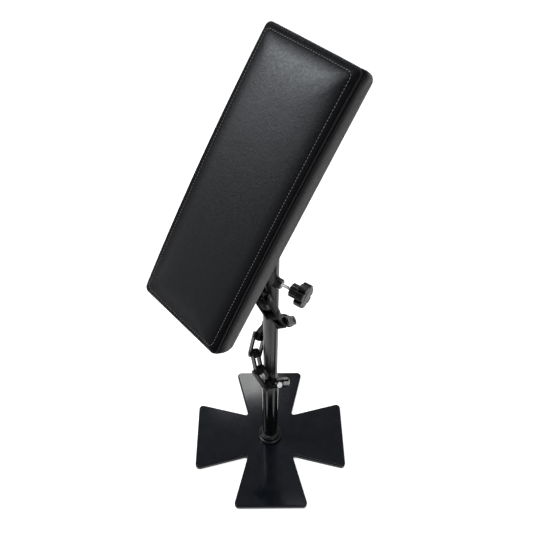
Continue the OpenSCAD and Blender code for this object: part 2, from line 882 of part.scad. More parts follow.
function pad_outline(inset, r) =
    let (w = pad_half_w - inset, l = pad_half_l - inset)
    concat(
        corner_points(w - r, l - r, r, 0),
        side_points([w - r, l], [r - w, l], end_steps),
        corner_points(r - w, l - r, r, 90),
        side_points([-w, l - r], [-w, r - l], side_steps),
        corner_points(r - w, r - l, r, 180),
        side_points([r - w, -l], [w - r, -l], end_steps),
        corner_points(w - r, r - l, r, 270),
        side_points([w, r - l], [w, l - r], side_steps)
    );

// Share of the seam's lift along the pad: none at its ends and all at its middle
function middle_share(y) = 1 - (y / pad_half_l) ^ 2;

// One ring of the pad: drawn in by inset, at height z, lifted at the middle by a share of the seam's lift
function pad_ring(inset, r, z, lift_share) =
    [for (p = pad_outline(inset, r)) [p.x, p.y, z + lift_share * seam_lift * middle_share(p.y)]];

// The crown rises steeply from the seam and flattens towards the middle, and its contours grow rounder
crown_inset_shares = [0, 0.03, 0.08, 0.16, 0.27, 0.42, 0.62, 0.86];
crown_fall_power = 2.6;
crown_rise_power = 0.5;
crown_corner_power = 0.75;
function crown_share(inset_share) = (1 - (1 - inset_share) ^ crown_fall_power) ^ crown_rise_power;
function crown_corner(inset, depth) =
    pad_corner_r + (pad_half_w - inset - pad_corner_r) * ((inset - depth) / pad_half_w) ^ crown_corner_power;

function crown_rings(depth) = [
    for (share = crown_inset_shares)
        let (rise = crown_share(share), inset = depth + share * (pad_half_w - depth))
        pad_ring(inset, crown_corner(inset, depth), seam_z + crown_h * rise - depth, 1 - rise)
];

// The band leans in to its lower edge and bulges at half its height; depth is the distance under its face
band_shares = [0.2, 0.4, 0.6, 0.8];
taper_power = 1.5;
function band_inset(share) =
    boxing_taper * (1 - share) ^ taper_power - 4 * boxing_bulge * share * (1 - share);
function band_ring(depth, share) =
    let (inset = depth + band_inset(share))
    pad_ring(inset, pad_corner_r - inset / 2, board_low + boxing_h * share, share);

module pad_foam() {
    depth = cover_t + soft_gap;
    start_share = board_t / boxing_h;
    color("#d9d2b8")
        at_pad()
            ring_stack(concat(
                [for (share = concat(start_share, [for (s = band_shares) if (s > start_share) s]))
                    band_ring(depth + boxing_bulge / 4, share)],
                crown_rings(depth)
            ));
}

// The cover's side band, folded under the board
module cover_boxing() {
    fold_z = board_low - cover_t;
    fold_inset = boxing_taper + cover_fold;
    color("#101012")
        at_pad()
            ring_loop(concat(
                [
                    pad_ring(fold_inset, pad_corner_r, board_low, 0),
                    pad_ring(fold_inset, pad_corner_r, fold_z, 0),
                    pad_ring(boxing_taper + cover_t / 2, pad_corner_r - boxing_taper / 2, fold_z, 0)
                ],
                [for (share = concat(0, band_shares, 1)) band_ring(0, share)],
                [for (share = concat(1, [for (i = [len(band_shares) - 1:-1:0]) band_shares[i]], 0))
                    band_ring(cover_t, share)]
            ));
}

// The cover's top panel, crowned over the foam
module cover_top() {
    inside = crown_rings(cover_t);
    color("#101012")
        at_pad()
            ring_stack(concat(
                [for (i = [len(inside) - 1:-1:0]) inside[i]],
                [band_ring(cover_t, 1)],
                crown_rings(0)
            ));
}

// Tilt lock knob on the end of the pivot bolt

insert_r = pivot_bolt_r + pivot_washer_t;
insert_l = knob_hub_l;

module tilt_knob() {
    color("#18181a")
        at_pivot() mirror([0, 0, 1]) translate([0, 0, knob_seat])
            difference() {
                star_knob(pivot_bore_r, knob_depth);
                translate([0, 0, -overrun])
                    cylinder(h = insert_l + overrun, r = insert_r + seat_gap, $fn = round_fn);
            }
}

module tilt_knob_insert() {
    color("#c9a95a")
        at_pivot() translate([0, 0, -knob_seat - insert_l]) tube(insert_r, pivot_bore_r, insert_l);
}

rubber_sheet();
base_plate();
base_socket();
weld_beads();
lower_tube();
upper_tube();
lock_nut();
chain_inner_plates();
chain_outer_plates();
chain_rollers();
chain_pins();
chain_end_roller();
chain_screw();
top_bush();
stem_plug();
stem_tube();
tilt_block();
lock_stud();
lock_knob();
tilt_bracket();
pivot_washers();
pivot_bolt();
knob_washer();
screw_washers();
bracket_screws();
tee_nuts();
dust_cover();
pad_board();
pad_foam();
cover_boxing();
cover_top();
tilt_knob();
tilt_knob_insert();
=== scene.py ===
"""Looks of the tattoo arm rest stand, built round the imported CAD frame.

Sizes are written in millimetres, as in the CAD source, and become metres when a piece is made.
"""

import json
import math

import bpy
import numpy as np
from mathutils import Matrix, Vector

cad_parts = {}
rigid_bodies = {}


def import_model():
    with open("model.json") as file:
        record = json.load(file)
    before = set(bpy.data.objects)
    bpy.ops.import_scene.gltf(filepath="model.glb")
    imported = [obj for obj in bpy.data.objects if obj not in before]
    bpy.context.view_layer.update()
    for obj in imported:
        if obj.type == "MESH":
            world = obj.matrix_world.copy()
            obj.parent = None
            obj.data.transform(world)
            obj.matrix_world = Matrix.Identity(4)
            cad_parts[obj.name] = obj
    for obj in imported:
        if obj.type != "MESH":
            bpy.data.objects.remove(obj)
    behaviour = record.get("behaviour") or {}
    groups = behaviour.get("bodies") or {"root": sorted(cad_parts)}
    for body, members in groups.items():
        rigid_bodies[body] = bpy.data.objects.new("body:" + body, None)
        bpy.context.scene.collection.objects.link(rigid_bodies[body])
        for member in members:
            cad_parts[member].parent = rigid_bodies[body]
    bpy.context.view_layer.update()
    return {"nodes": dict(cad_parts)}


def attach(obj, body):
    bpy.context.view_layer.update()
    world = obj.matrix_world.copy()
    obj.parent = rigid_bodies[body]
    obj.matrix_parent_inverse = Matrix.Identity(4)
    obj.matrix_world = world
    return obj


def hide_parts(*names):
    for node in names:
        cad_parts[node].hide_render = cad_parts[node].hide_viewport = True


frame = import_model()

MM = 0.001
scene = bpy.context.scene
nodes = frame["nodes"]

# Places and sizes of part.scad. The post's heights are from the floor.
PLATE_Z = 12
LOWER_R, LOWER_BORE, LOWER_TOP = 15, 12.6, 225
TUBE_R, TUBE_TOP = 12.5, 576
STEM_R, STEM_BORE, STEM_LOW, STEM_TOP = 10, 8, 377, 628.6
LOCK_Z, LOCK_TURN = 504, -34.5
PIVOT_Z, PAD_TURN, PAD_PITCH = 666.6, -47.8, 53.2
# The pad's sizes are half its width and half its length, and its heights are from the pivot
PAD_W, PAD_L, PAD_R = 75.5, 193, 7.5
BRACKET_RISE, BRACKET_T, WASHER_T = 29.5, 4, 1.2
BOARD_LOW, BOARD_INSET, DUST_MARGIN = 31.9, 4.2, 8
SEAM_H, SEAM_LIFT, CROWN_H = 32, 6.5, 14
BULGE, TAPER, COVER_T = 2.2, 2.3, 1.6


# Materials

def rgb(r, g, b):
    return (r, g, b, 1)


class Look:
    """A procedural material: constants on the shader, and patterns from object coordinates."""

    def __init__(self, name, **constants):
        self.material = bpy.data.materials.new(name)
        self.material.use_nodes = True
        self.tree = self.material.node_tree
        self.shader = self.tree.nodes["Principled BSDF"]
        self.shade(**constants)
        self.place = self.add("TexCoord", out="Object")

    def fill(self, node, values):
        for key, value in values.items():
            if isinstance(value, bpy.types.NodeSocket):
                self.tree.links.new(value, node.inputs[key])
            else:
                node.inputs[key].default_value = value

    def add(self, kind, values=None, out=0, **settings):
        node = self.tree.nodes.new("ShaderNode" + kind)
        for key, value in settings.items():
            setattr(node, key, value)
        self.fill(node, values or {})
        return node.outputs[out]

    def shade(self, **values):
        """Values or sockets for the shader's inputs, named with _ for a space."""
        self.fill(self.shader, {key.replace("_", " "): value for key, value in values.items()})
        return self.material

    def stretched(self, x, y, z, turn=(0, 0, 0)):
        return self.add("Mapping", {"Vector": self.place, "Rotation": turn, "Scale": (x, y, z)})

    def noise(self, scale, detail=3, rough=0.5, place=None):
        return self.add("TexNoise", {
            "Vector": place or self.place, "Scale": scale, "Detail": detail, "Roughness": rough})

    def cells(self, scale, feature="F1", place=None):
        values = {"Vector": place or self.place, "Scale": scale}
        return self.add("TexVoronoi", values, "Distance", feature=feature)

    def band(self, value, low, high, to_low, to_high):
        return self.add("MapRange", {0: value, 1: low, 2: high, 3: to_low, 4: to_high})

    def rough(self, pattern, low, high):
        """Roughness that goes from low to high over the middle of a noise's range."""
        return self.band(pattern, 0.3, 0.7, low, high)

    def math(self, operation, a, b=0.0):
        return self.add("Math", {0: a, 1: b}, operation=operation)

    def blend(self, a, share_a, b, share_b):
        """Two patterns added in the given shares."""
        return self.math("ADD", self.math("MULTIPLY", a, share_a), self.math("MULTIPLY", b, share_b))

    def mix(self, share, a, b):
        return self.add("Mix", {0: share, 6: a, 7: b}, 2, data_type="RGBA")

    def flecks(self, pattern, colour, factor, lift=0.0, high=0.7):
        """A colour that turns into its multiple, plus a lift, where the pattern is strong."""
        other = rgb(*(c * factor + lift for c in colour))
        return self.mix(self.band(pattern, 0.35, high, 0, 1), rgb(*colour), other)

    def bump(self, height, distance, strength=1.0, before=None):
        values = {"Height": height, "Distance": distance, "Strength": strength}
        if before:
            values["Normal"] = before
        return self.add("Bump", values)


def painted(name, colour, rough, spread, specular, peel_scale, peel, wave=0.0):
    """Paint on metal: an orange-peel bump, a slow wave, and patches of other gloss and colour."""
    look = Look(name, Specular_IOR_Level=specular)
    patches = look.noise(9, 4, 0.6)
    fine = look.noise(60, 4, 0.6)
    surface = look.bump(look.noise(peel_scale, 2), peel * MM)
    if wave:
        surface = look.bump(look.noise(14, 2), wave * MM, before=surface)
    return look.shade(
        Base_Color=look.flecks(fine, colour, 1.7, 0.0005),
        Roughness=look.rough(patches, rough - spread, rough + spread),
        Normal=surface,
    )


def metal(name, colour, rough):
    """Plated metal with fine turned scratches and dull patches."""
    look = Look(name, Metallic=1.0)
    lines = look.noise(400, 3, 0.7, look.stretched(1, 1, 9))
    dull = look.noise(120, 3, 0.6)
    return look.shade(
        Base_Color=look.flecks(dull, colour, 0.62),
        Roughness=look.rough(dull, rough * 0.7, rough * 1.5),
        Normal=look.bump(lines, 0.03 * MM),
    )


def moulded(name, colour, rough, specular=0.35, grain=1400.0):
    """Moulded plastic with a fine spark-eroded texture."""
    look = Look(name, Specular_IOR_Level=specular)
    spots = look.noise(90, 3, 0.6)
    return look.shade(
        Base_Color=look.flecks(spots, colour, 1.6, 0.001, high=0.75),
        Roughness=look.rough(spots, rough - 0.06, rough + 0.08),
        Normal=look.bump(look.noise(grain, 3, 0.6), 0.04 * MM),
    )


def leather():
    """Black leather with pebbles about 1.1 mm across. A mesh attribute makes it reflect less beside the
    seam, as painted shade.
    """
    look = Look("leather", Specular_Tint=rgb(0.88, 0.93, 1.0))
    # Painted shade: a mesh attribute, high beside the seam, that lowers the leather's reflection
    rim = look.add("Attribute", out="Fac", attribute_name="rim")
    # Creases between the pebbles, longer one way
    edges = look.cells(780, "DISTANCE_TO_EDGE", look.stretched(1, 0.72, 1, (0.5, 0.3, 0.9)))
    crease = look.band(edges, 0, 0.22, 0, 1)
    pebble = look.band(look.cells(1250, place=look.stretched(1, 1, 1, (0.3, 0.2, 0.7))), 0, 0.7, 1, 0)
    soft = look.noise(260, 4, 0.6)
    patches = look.noise(22, 3, 0.5)
    grain = look.bump(look.blend(crease, 0.55, pebble, 0.3), 0.09 * MM, 0.75)
    grain = look.bump(soft, 0.28 * MM, 0.6, grain)
    grain = look.bump(patches, 0.6 * MM, 0.5, grain)
    return look.shade(
        # The creases are darker in colour: painted shade
        Base_Color=look.mix(crease, rgb(0.001, 0.001, 0.0012), rgb(0.004, 0.0042, 0.0048)),
        Roughness=look.rough(soft, 0.3, 0.43),
        Specular_IOR_Level=look.band(rim, 0, 1, 0.135, 0.015),
        Normal=grain,
    )


def woven(name, colour, scale):
    """Pressed or spun cloth with short fibres."""
    look = Look(name, Roughness=0.9, Specular_IOR_Level=0.2, Sheen_Weight=0.15)
    fibres = look.noise(scale, 5, 0.7, look.stretched(1, 0.25, 1, (0, 0, 0.6)))
    dots = look.cells(scale * 0.4)
    return look.shade(
        Base_Color=look.flecks(fibres, colour, 2.6),
        Normal=look.bump(look.blend(fibres, 1, dots, 0.5), 0.25 * MM),
    )


def ply():
    look = Look("ply", Specular_IOR_Level=0.3)
    grain = look.noise(40, 5, 0.65, look.stretched(1, 9, 9))
    rings = look.add("TexWave", {"Vector": look.place, "Scale": 30, "Distortion": 6, "Detail": 3})
    share = look.blend(grain, 0.6, rings, 0.4)
    return look.shade(
        Base_Color=look.mix(share, rgb(0.36, 0.2, 0.09), rgb(0.62, 0.43, 0.22)),
        Roughness=look.rough(grain, 0.5, 0.75),
        Normal=look.bump(grain, 0.1 * MM),
    )


def rubber():
    look = Look("sheet_rubber", Specular_IOR_Level=0.25)
    grain = look.noise(700, 3, 0.6)
    return look.shade(
        Base_Color=look.mix(look.noise(40, 3), rgb(0.006, 0.006, 0.006), rgb(0.014, 0.014, 0.014)),
        Roughness=look.rough(grain, 0.7, 0.9),
        Normal=look.bump(grain, 0.12 * MM),
    )


looks = {
    "plate": painted("gloss_plate", (0.0018, 0.0024, 0.0036), rough=0.11, spread=0.04,
                     specular=0.09, peel_scale=320, peel=0.01, wave=0.1),
    "gloss": painted("gloss_post", (0.002, 0.0022, 0.0026), rough=0.14, spread=0.04,
                     specular=0.16, peel_scale=320, peel=0.02, wave=0.05),
    "satin": painted("satin_post", (0.006, 0.006, 0.0064), rough=0.36, spread=0.07,
                     specular=0.3, peel_scale=900, peel=0.03),
    "chain": painted("chain_paint", (0.0014, 0.0014, 0.0016), rough=0.22, spread=0.06,
                     specular=0.05, peel_scale=260, peel=0.06, wave=0.1),
    "black_steel": painted("black_oxide", (0.0024, 0.0024, 0.0026), rough=0.28, spread=0.06,
                           specular=0.1, peel_scale=700, peel=0.03),
    "steel": metal("bright_plating", (0.66, 0.66, 0.66), rough=0.24),
    "dull_steel": metal("worn_plating", (0.24, 0.24, 0.24), rough=0.3),
    "brass": metal("brass_plating", (0.7, 0.5, 0.22), rough=0.3),
    "nylon": moulded("black_nylon", (0.005, 0.005, 0.0053), rough=0.42),
    "white_nylon": moulded("white_nylon", (0.74, 0.73, 0.69), rough=0.45, specular=0.4, grain=900),
    "knob": moulded("knob_plastic", (0.003, 0.003, 0.0032), rough=0.34, specular=0.2),
    "leather": leather(),
    "thread": woven("thread", (0.036, 0.036, 0.038), scale=2600),
    "cloth": woven("dust_cloth", (0.006, 0.006, 0.006), scale=1100),
    "ply": ply(),
    "rubber": rubber(),
}


# Meshes

def moved(points, place):
    """Points carried by a 4 by 4 matrix, if there is one."""
    points = np.asarray(points, float)
    if place is None:
        return points
    m = np.array(place, float)
    return points @ m[:3, :3].T + m[:3, 3]


def make(name, points, faces, body, look, slot, replaces=(), place=None, sharp=40):
    """A new piece from points in millimetres, smooth but for edges above the sharp angle."""
    mesh = bpy.data.meshes.new(name)
    mesh.from_pydata((moved(points, place) * MM).tolist(), [], faces)
    mesh.update()
    mesh.shade_smooth()
    mesh.set_sharp_from_angle(angle=math.radians(sharp))
    mesh.materials.append(looks[look])
    obj = bpy.data.objects.new(name, mesh)
    scene.collection.objects.link(obj)
    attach(obj, body)
    if replaces:
        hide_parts(*replaces)
    return obj


def unit(v):
    return v / np.linalg.norm(v)


def skin(m, n, loop=False):
    """Quads between m rings of n points, closed round each ring, and from last to first with loop."""
    return [
        (k * n + i, k * n + (i + 1) % n, (k + 1) % m * n + (i + 1) % n, (k + 1) % m * n + i)
        for k in range(m if loop else m - 1) for i in range(n)
    ]


def looped(rings):
    """Points and faces of a closed ring-shaped solid, from the rings round its section."""
    return np.concatenate(rings), skin(len(rings), len(rings[0]), loop=True)


def stacked(rings):
    """Points and faces of a solid whose rings run anticlockwise from its low end to its high end."""
    rings = [np.asarray(r, float) for r in rings]
    m, n = len(rings), len(rings[0])
    points = np.concatenate(rings + [rings[0].mean(0)[None], rings[-1].mean(0)[None]])
    faces = skin(m, n)
    for i in range(n):
        j = (i + 1) % n
        faces += [(m * n, j, i), (m * n + 1, (m - 1) * n + i, (m - 1) * n + j)]
    return points, faces


def merged(parts):
    points, faces, start = [], [], 0
    for p, f in parts:
        points.append(np.asarray(p, float))
        faces += [tuple(i + start for i in face) for face in f]
        start += len(p)
    return np.concatenate(points), faces


def softened(corners, radii, steps=5, closed=True):
    """A polyline in a plane with each corner turned into an arc of its radius."""
    out, n = [], len(corners)
    for i, (corner, radius) in enumerate(zip(corners, radii)):
        here = np.array(corner, float)
        if radius == 0 or (not closed and i in (0, n - 1)):
            out.append(here)
            continue
        a = unit(np.array(corners[i - 1], float) - here)
        b = unit(np.array(corners[(i + 1) % n], float) - here)
        half = math.acos(np.clip(a @ b, -1, 1)) / 2
        middle = here + (a + b) / np.linalg.norm(a + b) * radius / math.sin(half)
        start = here + a * radius / math.tan(half) - middle
        end = here + b * radius / math.tan(half) - middle
        for k in range(steps + 1):
            t = k / steps
            out.append(middle + unit(start * (1 - t) + end * t) * radius)
    return np.array(out)


def circle_points(n):
    return np.arange(n) * 2 * math.pi / n


def ring(radii, z, n=None):
    """One ring from a radius for n points, or a radius at each angle, at a height or heights."""
    n = n or len(radii)
    a = circle_points(n)
    r = np.broadcast_to(radii, n)
    return np.stack([r * np.cos(a), r * np.sin(a), np.broadcast_to(z, n).astype(float)], 1)


def flat_ring(outline, z):
    return np.column_stack([outline, np.full(len(outline), float(z))])


def lathed(corners, radii, n=128):
    """Turned solid with a bore, from the section (radius, height), which runs anticlockwise."""
    return looped([ring(r, z, n) for r, z in softened(corners, radii)])


def frame_of(origin, x, y, z):
    m = Matrix.Identity(4)
    for column, v in enumerate((x, y, z, origin)):
        for row in range(3):
            m[row][column] = v[row]
    return m


def turn(degrees, axis):
    return Matrix.Rotation(math.radians(degrees), 4, axis)


def shift(x, y, z):
    return Matrix.Translation((x, y, z))


at_lock = shift(0, 0, LOCK_Z) @ turn(LOCK_TURN, "Z") @ turn(90, "Y")
at_pad = shift(0, 0, PIVOT_Z) @ turn(PAD_TURN, "Z") @ turn(PAD_PITCH, "X")
at_pivot = at_pad @ turn(90, "Y")


# Base plate: a rounded bevel along its upper edge, and a small round along the lower one

def plate_outline(inset, steps=10):
    """The flared cross drawn in by inset, with the same number of points at each corner's arc."""
    end, half, waist = 150, 72, 45      # reach and half width of an arm, and the corners between
    corners = [
        (end, -half), (end, half), (waist, waist), (half, end), (-half, end), (-waist, waist),
        (-end, half), (-end, -half), (-waist, -waist), (-half, -end), (half, -end), (waist, -waist)]
    out = []
    for i, corner in enumerate(corners):
        here = np.array(corner, float)
        a = unit(here - corners[i - 1])
        b = unit(np.array(corners[(i + 1) % len(corners)], float) - here)
        n1, n2 = np.array([-a[1], a[0]]), np.array([-b[1], b[0]])
        side = 1 if a[0] * b[1] - a[1] * b[0] > 0 else -1
        radius = 4 if i % 3 == 2 else 8
        centre = here + side * radius * (n1 + n2) / (1 + n1 @ n2)
        a1 = math.atan2(n1[1], n1[0])
        sweep = math.atan2(n2[1], n2[0]) - a1
        sweep = (sweep + math.pi) % (2 * math.pi) - math.pi
        reach = side * (radius - side * inset)
        for k in range(steps + 1):
            angle = a1 + sweep * k / steps
            out.append(centre - reach * np.array([math.cos(angle), math.sin(angle)]))
    return np.array(out)


bevel = softened([(0.5, 2), (0, 2.5), (0, PLATE_Z - 2), (2, PLATE_Z), (2.6, PLATE_Z)],
                 [0, 0.4, 1.6, 1.6, 0], steps=6, closed=False)
make("plate_body", *stacked([flat_ring(plate_outline(inset), z) for inset, z in bevel]),
     "base", "plate", "gloss_black_paint", ["base_plate"], sharp=50)


# Post: socket, weld beads, tubes and bush

def weld_ring(radius, z, leg, beads, phase):
    """A weld laid as overlapping beads round a tube, on a shoulder at z."""
    a = circle_points(beads * 12)
    t = (a / (2 * math.pi) * beads + phase) % 1
    swell = 1 + 0.2 * np.sqrt(np.clip(1 - (2 * t - 1) ** 2, 0, 1)) - 0.14
    lean = 0.35 * np.sin(a * 3 + phase) + 0.2 * np.sin(a * 7)
    section = [(0.1, -0.3), (leg * 1.05, -0.3), (leg * 1.02, leg * 0.22), (leg * 0.8, leg * 0.62),
               (leg * 0.48, leg * 0.9), (leg * 0.16, leg * 1.04), (-0.2, leg * 1.05), (-0.2, 0)]
    rings = []
    for r, h in section:
        out = radius + (r if r < 0.2 else r * swell)
        up = z + (h if h <= 0 else h * swell * (1 + 0.06 * lean))
        rings.append(ring(out, up, len(a)))
    return looped(rings)


SOCKET_BORE, SOCKET_TOP = 15.05, 29
socket_edge = [(SOCKET_BORE, PLATE_Z), (24, PLATE_Z), (24, 20), (20, 20), (20, SOCKET_TOP),
               (SOCKET_BORE, SOCKET_TOP)]
make("socket_body", *lathed(socket_edge, [0, 0.6, 2.2, 1.2, 1.6, 0]), "base", "gloss",
     "gloss_black_paint", ["base_socket"])
make("weld_ring_beads", *merged([
    weld_ring(SOCKET_BORE, SOCKET_TOP, leg=3, beads=24, phase=0.2),
    weld_ring(TUBE_R + 0.05, LOWER_TOP, leg=2.45, beads=20, phase=0.6)]),
    "base", "gloss", "gloss_black_paint", ["weld_beads"], sharp=60)

lower_edge = [(LOWER_BORE, PLATE_Z), (LOWER_R, PLATE_Z), (LOWER_R, LOWER_TOP), (LOWER_BORE, LOWER_TOP)]
make("lower_tube_body", *lathed(lower_edge, [0, 0.3, 0.5, 0.5]), "base", "gloss",
     "gloss_black_paint", ["lower_tube"])
BUSH_BORE, BUSH_R, BUSH_LOW, BUSH_TOP = 10.05, 10.95, 550, 579
bush_edge = [(BUSH_BORE, BUSH_LOW), (BUSH_R, BUSH_LOW), (BUSH_R, TUBE_TOP), (TUBE_R, TUBE_TOP),
             (TUBE_R, BUSH_TOP), (BUSH_BORE, BUSH_TOP)]
make("bush_body", *lathed(bush_edge, [0.3, 0.3, 0, 0.4, 1.1, 0.7]), "swivel", "nylon",
     "black_nylon", ["top_bush"])
stem_edge = [(STEM_BORE, STEM_LOW), (STEM_R, STEM_LOW), (STEM_R, STEM_TOP), (STEM_BORE, STEM_TOP)]
make("stem_tube_body", *lathed(stem_edge, [0.3, 0.5, 0.3, 0.3]), "stem", "satin",
     "satin_black_paint", ["stem_tube"])


# Lock screw: its nut, its thread and its knob

def hex_radius(angles, flats):
    """Distance from the middle of a hexagon to its side at each angle, its corners a little cut."""
    a = (angles + math.pi / 6) % (math.pi / 3) - math.pi / 6
    return np.minimum(flats / 2 / np.cos(a), flats / 2 * 1.135)


def chamfer_height(hexagon, inner, end):
    """Height at which a chamfer of 30 degrees from the inner radius meets a hexagon's sides."""
    return end - np.maximum(hexagon - inner, 0) * math.tan(math.radians(30))


def coped(radii, lift):
    """Ring that lies on the post's wall, lifted off it; local z runs away from the post's axis."""
    a = circle_points(len(radii))
    across = radii * np.sin(a)
    wall = np.sqrt(np.maximum(TUBE_R ** 2 - across ** 2, 0))
    return np.stack([radii * np.cos(a), across, wall + lift], 1)


def lock_nut(flats=15, inner=6.9, bore=3.1, end=20, n=144):
    """Chamfered hexagon, coped to the tube and run in with weld at its foot."""
    hexagon = hex_radius(circle_points(n), flats)
    chamfer = chamfer_height(hexagon, inner, end)
    foot = hexagon + 1.6
    return looped([
        coped(foot, -0.6), coped(foot, 0.15), coped(hexagon + 0.75, 0.7), coped(hexagon, 1.7),
        ring(hexagon, chamfer - 0.3), ring(hexagon - 0.25, chamfer), ring(inner, end, n),
        ring(bore + 0.6, end, n), ring(bore, end - 0.5, n), ring(bore, 13, n),
        coped(np.full(n, bore), -0.6),
    ])


def threaded(radius, pitch, start, end, n=28, per_turn=8):
    """A threaded rod with plain chamfered ends."""
    rings = []
    a = circle_points(n) / (2 * math.pi)
    for z in np.arange(start, end + 1e-6, pitch / per_turn):
        depth = np.abs(2 * ((z / pitch - a) % 1) - 1)
        ends = np.clip(min(z - start, end - z) / 1.2, 0, 1)
        cut = 0.4 * pitch * np.clip(depth * 1.25 - 0.12, 0, 1) * ends
        rings.append(ring(radius - cut - (1 - ends) * 0.55, z))
    return stacked(rings)


def knob(bore, hub_r=10.8, hub_l=14, head_r=19, head_l=13, lobes=7, ribs=12, dome=0.5, n=420):
    """Lobed head with blocky lobes and narrow notches on a ribbed hub, from the hub's end at zero."""
    a = circle_points(n)
    lobe = (a * lobes / (2 * math.pi)) % 1 - 0.5            # zero in the middle of a lobe
    notch = np.abs(lobe) * 2                                # one at a notch
    depth = 4.6 * np.clip((notch - 0.6) / 0.4, 0, 1) ** 1.6
    flat = 0.45 * (1 - np.clip(notch / 0.6, 0, 1) ** 2)
    outline = head_r - 0.25 - depth + flat * 0.5
    rib = (a * ribs / (2 * math.pi)) % 1 - 0.5
    hub = hub_r - 0.9 * np.clip((np.abs(rib) * 2 - 0.45) / 0.3, 0, 1)
    rings = [ring(bore, hub_l + head_l / 2, n), ring(bore, 0, n)]
    rings += [ring(hub + grown, z) for grown, z in (
        (-0.9, 0), (-0.25, 0.25), (0, 0.9), (0, hub_l * 0.5), (0, hub_l - 3),
        (0.25, hub_l - 1.8), (1.0, hub_l - 0.6), (1.6, hub_l - 0.1))]

    # Head, with a round along its back and its front
    back, front = hub_l, hub_l + head_l
    back_r, front_r = 1.6, 1.5
    rings += [ring(outline * 0.8, back), ring(outline - back_r, back)]
    for k in range(1, 7):
        t = math.radians(15 * k)
        rings.append(ring(outline - back_r + back_r * math.sin(t), back + back_r - back_r * math.cos(t)))
    rings.append(ring(outline, (back + front) / 2))
    inner = outline - front_r
    for k in range(6):
        t = math.radians(18 * k)
        rings.append(ring(inner + front_r * math.cos(t), front - front_r + front_r * math.sin(t)))

    # Face: a slight dome with a groove round its middle
    for share in (0.94, 0.8):
        rings.append(ring(inner * share + (1 - share) * 9, front + dome * (1 - share) * 1.3))
    for r, groove in ((10.6, 0), (10.2, -0.45), (9.8, -0.45), (9.4, 0)):
        rings.append(ring(r, front + dome * 0.62 + groove, n))
    for r in (7, 4, 1.5):
        rings.append(ring(r, front + dome * (1 - 0.38 * (r / 9.4) ** 2), n))
    return stacked(rings)


make("nut_body", *lock_nut(), "base", "gloss", "gloss_black_paint", ["lock_nut"], at_lock, sharp=35)
make("stud_thread", *threaded(radius=3, pitch=1, start=10.3, end=56.4), "height_lock", "steel",
     "bright_steel", ["lock_stud"], at_lock, sharp=70)
make("height_knob", *knob(bore=3.02), "height_lock", "knob", "knob_plastic", ["lock_knob"],
     at_lock @ shift(0, 0, 36.5), sharp=50)
make("tilt_knob_body", *knob(bore=6.6), "tilt_lock", "knob", "knob_plastic", ["tilt_knob"],
     at_pivot @ turn(180, "X") @ shift(0, 0, 20.7), sharp=50)


# Pad, in its own frame: x across it, y along it and z out of its face

def middle_share(y):
    return 1 - (y / PAD_L) ** 2


def crown_radius(inset):
    """Corner radius of the crown's contour at an inset: least beside the seam, most in the middle."""
    least = np.minimum(np.maximum(PAD_R - inset, 3.2), np.maximum(PAD_W - inset, 0))
    return least + (PAD_W - inset - least) * np.clip(inset / PAD_W, 0, 1) ** 1.3


def crown_height(inset, y):
    rise = np.sqrt(1 - (1 - np.clip(inset / PAD_W, 0, 1)) ** 2.6)
    return BOARD_LOW + SEAM_H + CROWN_H * rise + (1 - rise) * SEAM_LIFT * middle_share(y)


class Loop:
    """Counts round the pad's outline, and the coordinate u: four a side, from a corner's middle."""

    def __init__(self, arc, long, short):
        self.sides = arc + long, arc + short
        half = np.arange(arc // 2) / (arc // 2)
        self.u = np.concatenate([
            4 * k + np.concatenate([half, 1 + 2 * np.arange(side) / side, 3 + half])
            for k, side in enumerate((long, short, long, short))])

    def outline(self, inset, radius):
        """Points of a rounded outline, anticlockwise from the corner's middle at plus x, minus y."""
        w, l = PAD_W - inset, PAD_L - inset
        centres = np.array([(w - radius, radius - l), (w - radius, l - radius),
                            (radius - w, l - radius), (radius - w, radius - l)])
        side, t = np.divmod(self.u, 4)
        side = side.astype(int)
        base = side * math.pi / 2 - math.pi / 4
        angle = base + np.clip(t, 0, 1) * math.pi / 4 + np.clip(t - 3, 0, 1) * math.pi / 4
        straight = np.clip((t - 1) / 2, 0, 1)[:, None]
        centre = centres[side] * (1 - straight) + centres[(side + 1) % 4] * straight
        return centre + radius * np.stack([np.cos(angle), np.sin(angle)], 1)


def profile():
    """Distance along the cover from the seam against how far the crown is drawn in."""
    inset = np.concatenate([np.linspace(0, 1, 80) ** 2 * 4, np.linspace(4, 40, 120)[1:]])
    height = crown_height(inset, 0)
    step = np.hypot(np.diff(inset), np.diff(height))
    return np.concatenate([[0], np.cumsum(step)]), inset


reach_along, reach_inset = profile()
TURN_H, TURN_R = 1.5, 2.6       # where the band begins to turn in under the board, and its round


def band_inset(share):
    """How far the side band is drawn in at a share of its height: a taper, less its bulge."""
    return TAPER * (1 - share) ** 1.5 - 4 * BULGE * share * (1 - share)


def cover_ring(loop, t):
    """One ring of the cover at distance t from the seam: up the crown, or down and under the board."""
    if t >= 0:
        inset = np.interp(t, reach_along, reach_inset)
        xy = loop.outline(inset, float(crown_radius(inset)))
        return np.column_stack([xy, crown_height(inset, xy[:, 1])])
    if t >= -SEAM_H + TURN_H:
        share = 1 + t / SEAM_H
        inset = band_inset(share)
        xy = loop.outline(inset, PAD_R - inset / 2)
        z = BOARD_LOW + SEAM_H * share + share * SEAM_LIFT * middle_share(xy[:, 1])
        return np.column_stack([xy, z])
    # Round the board's edge, and flat under it to the end of the fold
    over = -SEAM_H + TURN_H - t
    turn_l = TURN_R * math.pi / 2
    low = BOARD_LOW - COVER_T
    inset = band_inset(TURN_H / SEAM_H)
    if over < turn_l:
        a = over / TURN_R
        inset, z = inset + TURN_R * (1 - math.cos(a)), low + TURN_R * (1 - math.sin(a)) + 0.5
    else:
        inset, z = inset + TURN_R + over - turn_l, low + 0.5 * max(0, 1 - (over - turn_l) / 3)
    return flat_ring(loop.outline(inset, PAD_R), z)


